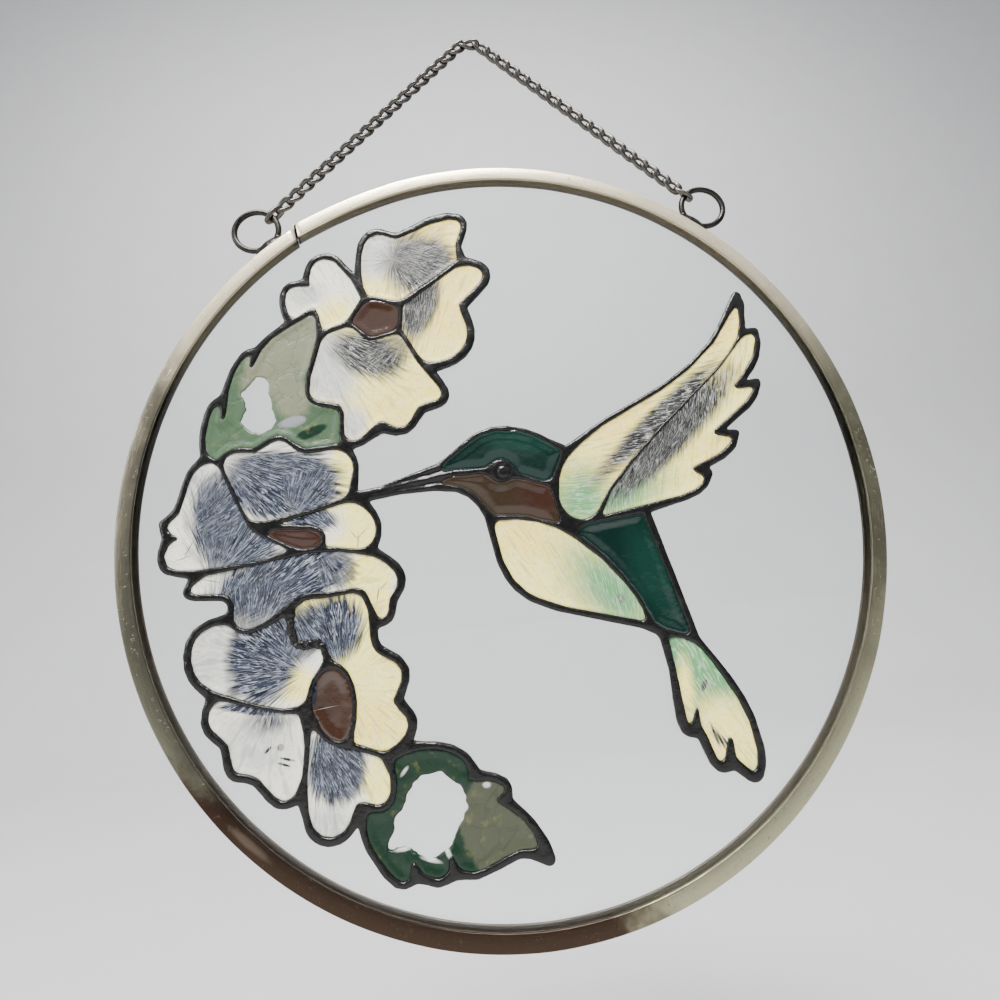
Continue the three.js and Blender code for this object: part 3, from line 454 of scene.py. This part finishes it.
def wire_finish(name, dark, light):
    """Darkened wire between two shades."""
    finish = Finish(name, Metallic=1.0)
    cloud = finish.grain(1.2, 4.0)
    finish.drive("Base Color", finish.mix(cloud, dark, light))
    finish.drive("Roughness", 0.2 + cloud * 0.2)
    finish.bump(finish.grain(0.3, 3.0), 0.03)
    return finish.material


def glass_finish():
    """Clear window glass with a very slight wave."""
    finish = Finish("clear_glass", Base_Color=(0.97, 0.99, 0.985, 1.0), Roughness=0.015, IOR=1.5,
                    Transmission_Weight=1.0)
    finish.bump(finish.grain(40.0, 1.0), 0.05)
    return finish.material


def floor_finish():
    """Plain pale grey with a faint cloudiness."""
    finish = Finish("pale_floor", Roughness=0.8)
    soft = finish.grain(60.0, 2.0)
    finish.drive("Base Color", finish.mix(soft, (0.54, 0.54, 0.55), (0.58, 0.58, 0.58)))
    return finish.material


# ---------- making pieces ----------
def finished(name, bm, material, nodes):
    """Puts a mesh made in millimetres into the scene as one piece that stands for these nodes."""
    bmesh.ops.scale(bm, vec=(MM, MM, MM), verts=bm.verts)
    mesh = bpy.data.meshes.new(name)
    bm.to_mesh(mesh)
    bm.free()
    mesh.shade_smooth()
    mesh.materials.append(material)
    piece = bpy.data.objects.new(name, mesh)
    scene.collection.objects.link(piece)
    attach(piece, "root")
    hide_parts(*nodes)


def merged_copy(node):
    """A copy of a CAD node's mesh in millimetres, with its loose triangles joined."""
    bm = bmesh.new()
    bm.from_mesh(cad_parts[node].data)
    bmesh.ops.scale(bm, vec=(1 / MM,) * 3, verts=bm.verts)
    bmesh.ops.remove_doubles(bm, verts=bm.verts, dist=0.002)
    return bm


def surface_of(nodes):
    """The surface of some CAD nodes in millimetres, to measure distances from."""
    corners, sides = [], []
    for node in nodes:
        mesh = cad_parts[node].data
        sides += [[len(corners) + i for i in face.vertices] for face in mesh.polygons]
        corners += [v.co / MM for v in mesh.vertices]
    return BVHTree.FromPolygons(corners, sides)


def evened(bm, voxel, rounds=3):
    """The same solid with even small faces and softened edges."""
    mesh = bpy.data.meshes.new("evening")
    bm.to_mesh(mesh)
    bm.free()
    helper = bpy.data.objects.new("evening", mesh)
    scene.collection.objects.link(helper)
    cells = helper.modifiers.new("cells", "REMESH")
    cells.mode = "VOXEL"
    cells.voxel_size = voxel
    soften = helper.modifiers.new("soften", "SMOOTH")
    soften.factor = 0.5
    soften.iterations = rounds
    shown = helper.evaluated_get(bpy.context.evaluated_depsgraph_get())
    made = bmesh.new()
    made.from_mesh(shown.to_mesh())
    bpy.data.objects.remove(helper)
    bpy.data.meshes.remove(mesh)
    made.normal_update()
    return made


def turned(bm, verts, angle, axis):
    """Turns part of a mesh about an axis through the origin."""
    bmesh.ops.rotate(bm, verts=verts, cent=(0, 0, 0), matrix=Matrix.Rotation(angle, 3, axis))


# ---------- the metal channel ----------
def channel_strip():
    """The channel's section spun round the disc, with one end standing proud at the seam."""
    half, flange, wall = CHANNEL["depth"] / 2, CHANNEL["flange"], CHANNEL["wall"]
    inner = DISC_RADIUS - flange
    inside = DISC_RADIUS - wall
    corners = [(inner, -half), (DISC_RADIUS, -half), (DISC_RADIUS, half), (inner, half),
               (inner, half - wall), (inside, half - wall), (inside, wall - half), (inner, wall - half)]
    start = math.radians(SEAM["angle"])
    bm = bmesh.new()
    ring = [bm.verts.new((r * math.sin(start), y, r * math.cos(start))) for r, y in corners]
    bm.faces.new(ring)
    bmesh.ops.bevel(bm, geom=ring[1:3], offset=CHANNEL["corner"], offset_type="OFFSET", segments=6,
                    profile=0.5, affect="VERTICES", material=-1)
    lips = [v for v in bm.verts if abs(math.hypot(v.co.x, v.co.z) - inner) < 0.01]
    bmesh.ops.bevel(bm, geom=lips, offset=CHANNEL["lip"], offset_type="OFFSET", segments=3,
                    profile=0.5, affect="VERTICES", material=-1)
    gap = SEAM["gap"] / DISC_RADIUS
    turned(bm, bm.verts, gap / 2, "Y")
    bmesh.ops.spin(bm, geom=bm.faces[:], cent=(0, 0, 0), axis=(0, 1, 0), angle=2 * math.pi - gap,
                   steps=CHANNEL["steps"], use_duplicate=False)
    bmesh.ops.recalc_face_normals(bm, faces=bm.faces)
    for v in bm.verts:
        r = math.hypot(v.co.x, v.co.z)
        past = (math.atan2(v.co.x, v.co.z) - start) % (2 * math.pi)
        near_end = min(past, 2 * math.pi - past)
        slant = SEAM["slant"] * (r - DISC_RADIUS + flange / 2) / r * math.exp(-near_end / 0.03)
        lift = SEAM["step_out"] * max(0.0, 1 - past / math.radians(SEAM["blend"])) ** 2
        waver = 0.05 * noise.noise(Vector((math.sin(past) * 9, math.cos(past) * 9, 3)))
        angle = math.atan2(v.co.x, v.co.z) + slant
        r += lift + waver
        v.co.x, v.co.z = r * math.sin(angle), r * math.cos(angle) + CENTRE.z
    return bm


# ---------- outlines ----------
def walls_of(bm):
    """The upright walls of a flat piece: one separate band of faces for every outline, with its box."""
    upright = [f for f in bm.faces if abs(f.normal.y) < 0.7]
    left, found = set(upright), []
    for face in upright:
        if face not in left:
            continue
        left.discard(face)
        group, queue = [], [face]
        while queue:
            here = queue.pop()
            group.append(here)
            for near in {n for edge in here.edges for n in edge.link_faces}:
                if near in left:
                    left.discard(near)
                    queue.append(near)
        xs = [v.co.x for f in group for v in f.verts]
        zs = [v.co.z for f in group for v in f.verts]
        found.append((group, (min(xs), min(zs), max(xs), max(zs))))
    return found


def outline_edges(bm):
    """Edges where a flat face meets an upright wall."""
    return [e for e in bm.edges if len(e.link_faces) == 2
            and (abs(e.link_faces[0].normal.y) < 0.7) != (abs(e.link_faces[1].normal.y) < 0.7)]


def rounded_outlines(bm, piece=0.6, rounds=6):
    """Turns straight outline pieces into smooth curves."""
    bm.normal_update()
    by_cuts = {}
    for e in outline_edges(bm):
        by_cuts.setdefault(int(e.calc_length() / piece), []).append(e)
    for cuts, edges in by_cuts.items():
        if cuts:
            bmesh.ops.subdivide_edges(bm, edges=edges, cuts=cuts)
    bm.normal_update()
    near = {}
    for e in outline_edges(bm):
        for v in e.verts:
            near.setdefault(v, []).append(e.other_vert(v))
    for _ in range(rounds):
        moved = {v: v.co * 0.5 + sum((n.co for n in around), Vector()) * (0.5 / len(around))
                 for v, around in near.items()}
        for v, place in moved.items():
            v.co.x, v.co.z = place.x, place.z
    return bm


def between(bm, back, front):
    """Moves the flat back and front of a piece to these depths."""
    middle = sum(v.co.y for v in bm.verts) / len(bm.verts)
    for v in bm.verts:
        v.co.y = back if v.co.y > middle else front
    return bm


# ---------- raised black lines ----------
def eye_and_beak(x, y):
    """Extra height of the bird's domed eye, with a groove round its pupil, and of the beak's two ridges."""
    rise = 0.0
    eye = math.hypot(x - EYE["x"], y - EYE["y"]) / EYE["radius"]
    if eye < 1:
        groove = (math.hypot(x - EYE["pupil_x"], y - EYE["pupil_y"]) - EYE["pupil"]) / 0.25
        rise += 0.35 * (1 - eye ** 2) - 0.34 * math.exp(-groove ** 2)
    along = (x - BEAK["x"]) / BEAK["length"]
    if 0 < along < 1.15:
        off = (y - BEAK["y"] - BEAK["rise"] * along) / (0.4 + 1.5 * along)
        if abs(off) < 1.2:
            rise += 0.18 * along * math.cos(off * 5.0)
    return rise


def line_web(paint):
    """The black lines: broad smooth beads round each group and thinner pitted lines inside it."""
    bm = evened(between(rounded_outlines(merged_copy("leading")), *LINE_DEPTHS), voxel=0.3)
    for v in bm.verts:
        x, y = on_picture(v.co)
        mess = math.exp(-((x - KNOT["x"]) ** 2 + (y - KNOT["y"]) ** 2) / KNOT["spread"])
        # an inner line has paint right beside it, and an outer one has clear glass
        beside = Vector((v.co.x, -1.8, v.co.z)) + Vector((v.normal.x, 0, v.normal.z)) * 0.8
        inner = paint.find_nearest(beside)[3] < 0.45
        upper = max(0.0, min(1.0, (y - 8) / 8)) * (x < 0)
        wide = (-0.06 if inner else 0.20 + 0.14 * upper) + 0.55 * mess
        v.co.x += wide * v.normal.x
        v.co.z += wide * v.normal.z
        # the lines inside the two lower blossoms are pitted
        pitted = 0.14 if inner and x < -22 and y < 8 else 0.03
        swell = 0.14 * noise.noise(v.co * 0.35) + pitted * noise.noise(v.co * 1.6)
        swell += 0.6 * mess * noise.noise(v.co * 1.8)
        v.co.x += 0.35 * mess * noise.noise(v.co * 1.5 + Vector((7, 0, 0)))
        v.co.z += 0.35 * mess * noise.noise(v.co * 1.5 + Vector((0, 0, 9)))
        if v.co.y < GLASS_FRONT:
            v.co.y -= swell * min(1.0, (GLASS_FRONT - v.co.y) / 0.6)
        if v.co.y < -2.0:
            v.co.y -= eye_and_beak(x, y)
        v.co.y = min(v.co.y, GLASS_FRONT - 0.01)
    return bm


# ---------- paint fills ----------
def fill_cell(node):
    """The cell of the black lines that a fill lies in, with the fill's own worn hole if it has one."""
    low, high = (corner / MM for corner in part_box(node))
    bm, own = merged_copy("leading"), merged_copy(node)
    around = [(box[2] - box[0], group) for group, box in walls_of(bm)
              if box[0] < low.x and box[1] < low.z and box[2] > high.x and box[3] > high.z]
    keep = set(min(around, key=lambda pair: pair[0])[1])
    bmesh.ops.delete(bm, geom=[f for f in bm.faces if f not in keep], context="FACES")
    between(bm, *PAINT_DEPTHS)
    holes = sorted(walls_of(own), key=lambda band: band[1][0] - band[1][2])[1:]
    if holes:
        keep = set(holes[0][0])
        bmesh.ops.delete(own, geom=[f for f in own.faces if f not in keep], context="FACES")
        between(own, *PAINT_DEPTHS)
        worn = bpy.data.meshes.new("worn")
        own.to_mesh(worn)
        bm.from_mesh(worn)
        bpy.data.meshes.remove(worn)
    own.free()
    for depth in PAINT_DEPTHS:
        rim = [e for e in bm.edges if e.is_boundary and abs(e.verts[0].co.y - depth) < 0.01]
        bmesh.ops.triangle_fill(bm, use_beauty=False, use_dissolve=False, edges=rim)
    bmesh.ops.recalc_face_normals(bm, faces=bm.faces)
    return bm


def paint_fill(node, kind, walls):
    """One fill: it runs under the lines, and its rim climbs to them by the height and width of its kind."""
    bm = evened(rounded_outlines(fill_cell(node)), voxel=0.33)
    deep, wide = {"gloss": (0.36, 2.0), "leaf": (0.34, 1.5), "pearl": (0.22, 1.1)}[kind]
    for v in bm.verts:
        wall = walls.find_nearest(Vector((v.co.x, -2.0, v.co.z)))[3]
        if wall < 0.6:
            v.co.x += 0.35 * v.normal.x
            v.co.z += 0.35 * v.normal.z
        elif kind == "leaf":
            v.co.x += 0.5 * v.normal.x * noise.noise(v.co * 0.9)
            v.co.z += 0.5 * v.normal.z * noise.noise(v.co * 0.9 + Vector((5, 0, 0)))
        if v.co.y < GLASS_FRONT:
            pool = 0.06 * noise.noise(v.co * 0.25)
            v.co.y -= deep * max(0.0, 1.0 - wall / wide) + pool
        v.co.y = min(v.co.y, GLASS_FRONT - 0.02)
    return bm


# ---------- loops ----------
def wire_loop(side):
    """A wire ring in its bed of solder, made at the top of the disc and then turned to its side."""
    bm = bmesh.new()
    made = bmesh.ops.create_circle(bm, segments=14, radius=LOOP["wire"] / 2)
    turned(bm, made["verts"], math.pi / 2, "X")
    turned(bm, made["verts"], math.pi / 2, "Z")
    bmesh.ops.translate(bm, verts=made["verts"], vec=(0, 0, LOOP["radius"]))
    bmesh.ops.spin(bm, geom=bm.edges[:], cent=(0, 0, 0), axis=(0, 1, 0), angle=2 * math.pi, steps=64,
                   use_merge=True)
    bmesh.ops.translate(bm, verts=bm.verts, vec=(0, 0, LOOP_CENTRE))
    solder = bmesh.ops.create_icosphere(bm, subdivisions=4, radius=1.0)["verts"]
    bmesh.ops.scale(bm, vec=SOLDER, verts=solder)
    bmesh.ops.translate(bm, vec=(0, 0, DISC_RADIUS + 0.15), verts=solder)
    for v in solder:
        sag = v.co.x * v.co.x / (2 * DISC_RADIUS)
        v.co.z = max(v.co.z - sag, DISC_RADIUS - 0.05 - sag)
    bmesh.ops.recalc_face_normals(bm, faces=bm.faces)
    bm = evened(bm, voxel=0.2)
    for v in bm.verts:
        low = max(0.0, 1 - (v.co.z - DISC_RADIUS) / 3.0)
        v.co += v.normal * 0.12 * low * noise.noise(v.co * 1.1)
    turned(bm, bm.verts, side * math.radians(LOOP["angle"]), "Y")
    bmesh.ops.translate(bm, verts=bm.verts, vec=(0, 0, CENTRE.z))
    return bm


# ---------- chain ----------
def chain_slope():
    """Slope of the straight part: with the bend over the hook it takes up half the chain."""
    half = LINK["count"] * LINK["pitch"] / 2
    reach = LINK["pitch"] / 2
    inner = LOOP["wire"] / 2 + LINK["wire"] / 2 + LOOP["gap"]
    link_half = reach + LINK["wire"] / 2 - 0.1
    loop_x = LOOP_CENTRE * math.sin(math.radians(LOOP["angle"]))
    shallow, steep = 0.1, 1.4
    for _ in range(40):
        slope = (shallow + steep) / 2
        start = loop_x - math.cos(slope) * (LOOP["radius"] - inner + link_half - reach)
        length = (start - LINK["bend"] * math.sin(slope)) / math.cos(slope) + LINK["bend"] * slope
        shallow, steep = (slope, steep) if length < half else (shallow, slope)
    return slope


def chain_place(distance, slope):
    """Place and tilt on the chain at that distance from its middle, positive to the right."""
    side = 1 if distance >= 0 else -1
    arc = LINK["bend"] * slope
    turn = min(abs(distance), arc) / LINK["bend"]
    run = max(0.0, abs(distance) - arc)
    x = LINK["bend"] * math.sin(turn) + run * math.cos(turn)
    z = LINK["width"] / 2 - LINK["bend"] * (1 - math.cos(turn)) - run * math.sin(turn)
    return Vector((side * x, 0, z)), side * turn


def chain_links():
    """Curb links: rings of wire drawn out to ovals, each twisted by a quarter turn along its length."""
    slope = chain_slope()
    eighth = math.pi / 4
    long_half = LINK["pitch"] / 2 + LINK["wire"] / 2 - 0.02
    wide_half = (LINK["width"] - LINK["wire"]) / 2
    bm = bmesh.new()
    for i in range(LINK["count"]):
        made_before = len(bm.verts)
        verts = bmesh.ops.create_circle(bm, segments=8, radius=LINK["wire"] / 2)["verts"]
        edges = list({e for v in verts for e in v.link_edges})
        turned(bm, verts, math.pi / 2, "Y")
        bmesh.ops.translate(bm, verts=verts, vec=(0, 0, wide_half))
        bmesh.ops.spin(bm, geom=edges, cent=(0, 0, 0), axis=(0, 1, 0), angle=2 * math.pi, steps=22,
                       use_merge=True)
        bm.verts.ensure_lookup_table()
        link = bm.verts[made_before:]
        first, last = eighth, -eighth
        if i == 0:
            first, last = 2 * eighth, 3 * eighth
        if i == LINK["count"] - 1:
            last = 2 * eighth
        place, tilt = chain_place((i - (LINK["count"] - 1) / 2) * LINK["pitch"], slope)
        stretch = long_half - wide_half
        for v in link:
            along = v.co.x / wide_half
            v.co.x += stretch * max(-1.0, min(1.0, along))
            part = max(0.0, min(1.0, v.co.x / long_half / 2 + 0.5))
            roll = first + (last - first) * part
            y, z = v.co.y, v.co.z
            v.co.y = y * math.cos(roll) + z * math.sin(roll)
            v.co.z = z * math.cos(roll) - y * math.sin(roll)
        turned(bm, link, tilt, "Y")
        bmesh.ops.translate(bm, verts=link, vec=place)
    bmesh.ops.recalc_face_normals(bm, faces=bm.faces)
    return bm


# ---------- the object ----------
champagne = frame_finish()
gunmetal = wire_finish("gunmetal_wire", *CHAIN_SHADES)
blackened = wire_finish("blackened_wire", *RING_SHADES)
merged_lines = merged_copy("leading")
walls = BVHTree.FromBMesh(merged_lines)
merged_lines.free()
paint = surface_of(FILLS)

finished("frame_strip", channel_strip(), champagne, ["channel_frame"])
finished("line_web", line_web(paint), paste_finish(), ["leading"])
for node, (slot, base, kind, patches, fans) in FILLS.items():
    material = paint_finish(node + "_finish", base, kind, patches, fans)
    finished(node + "_paint", paint_fill(node, kind, walls), material, [node])
finished("ring_left", wire_loop(-1), blackened, ["loop_left"])
finished("ring_right", wire_loop(1), blackened, ["loop_right"])
finished("chain_links", chain_links(), gunmetal, ["chain"])

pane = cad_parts["glass_disc"]
pane.data.materials.clear()
pane.data.materials.append(glass_finish())


# ---------- floor, light and camera ----------
def studio_floor():
    """A pale floor that curves up into a wall behind the object."""
    bm = bmesh.new()
    reach, level, radius, rear, steps = 3.0, -0.32, 0.5, 1.2, 12
    profile = [(-reach, level), (rear - radius, level)]
    profile += [(rear - radius + radius * math.sin(t), level + radius * (1 - math.cos(t)))
                for t in (math.pi / 2 * k / steps for k in range(1, steps + 1))]
    profile.append((rear, reach))
    rail = [bm.verts.new((-reach, y, z)) for y, z in profile]
    edges = [bm.edges.new(pair) for pair in zip(rail, rail[1:])]
    made = bmesh.ops.extrude_edge_only(bm, edges=edges)["geom"]
    far_side = [g for g in made if isinstance(g, bmesh.types.BMVert)]
    bmesh.ops.translate(bm, vec=(2 * reach, 0, 0), verts=far_side)
    bmesh.ops.recalc_face_normals(bm, faces=bm.faces)
    mesh = bpy.data.meshes.new("pale_floor")
    bm.to_mesh(mesh)
    bm.free()
    mesh.shade_smooth()
    mesh.materials.append(floor_finish())
    floor = bpy.data.objects.new("pale_floor", mesh)
    scene.collection.objects.link(floor)


def soft_sky():
    """Bright overhead and darker towards the ground, so that metal and gloss have something to mirror."""
    world = bpy.data.worlds.new("soft_sky")
    world.use_nodes = True
    nodes, links = world.node_tree.nodes, world.node_tree.links
    place = nodes.new("ShaderNodeTexCoord")
    apart = nodes.new("ShaderNodeSeparateXYZ")
    ramp = nodes.new("ShaderNodeValToRGB")
    ramp.color_ramp.interpolation = "EASE"
    dark_ground, bright_sky = ramp.color_ramp.elements
    dark_ground.position, dark_ground.color = 0.08, (0.10, 0.10, 0.11, 1.0)
    bright_sky.position, bright_sky.color = 0.36, (0.93, 0.96, 1.0, 1.0)
    links.new(place.outputs["Generated"], apart.inputs[0])
    links.new(apart.outputs["Z"], ramp.inputs[0])
    links.new(ramp.outputs["Color"], nodes["Background"].inputs["Color"])
    nodes["Background"].inputs["Strength"].default_value = 1.0
    scene.world = world


def softbox(name, place, target, size, power, colour=(1, 1, 1)):
    """A soft rectangular lamp that faces a point."""
    light = bpy.data.lights.new(name, "AREA")
    light.shape = "RECTANGLE"
    light.size, light.size_y = size
    light.energy = power
    light.color = colour
    lamp = bpy.data.objects.new(name, light)
    lamp.location = place
    lamp.rotation_euler = (Vector(target) - Vector(place)).to_track_quat("-Z", "Y").to_euler()
    scene.collection.objects.link(lamp)


studio_floor()
soft_sky()
softbox("window_above", (-0.12, -0.5, 0.6), (0, 0, -0.12), (0.42, 0.16), 21.0, (1.0, 0.98, 0.95))
softbox("window_left", (-0.8, -0.5, 0.1), (0, 0, -0.12), (0.3, 0.5), 5.0)
softbox("wall_light", (0.0, 0.25, 1.1), (0, 1.2, 0.1), (1.6, 0.4), 22.0)

lens = bpy.data.cameras.new("view")
lens.lens = 23.4
lens.shift_y = -0.105
lens.clip_start = 0.01
lens.clip_end = 10.0
camera = bpy.data.objects.new("view", lens)
camera.location = (-0.00933, -0.14299, -0.14003)
camera.rotation_euler = [math.radians(a) for a in (106.328, 4.886, -2.335)]
scene.collection.objects.link(camera)
scene.camera = camera
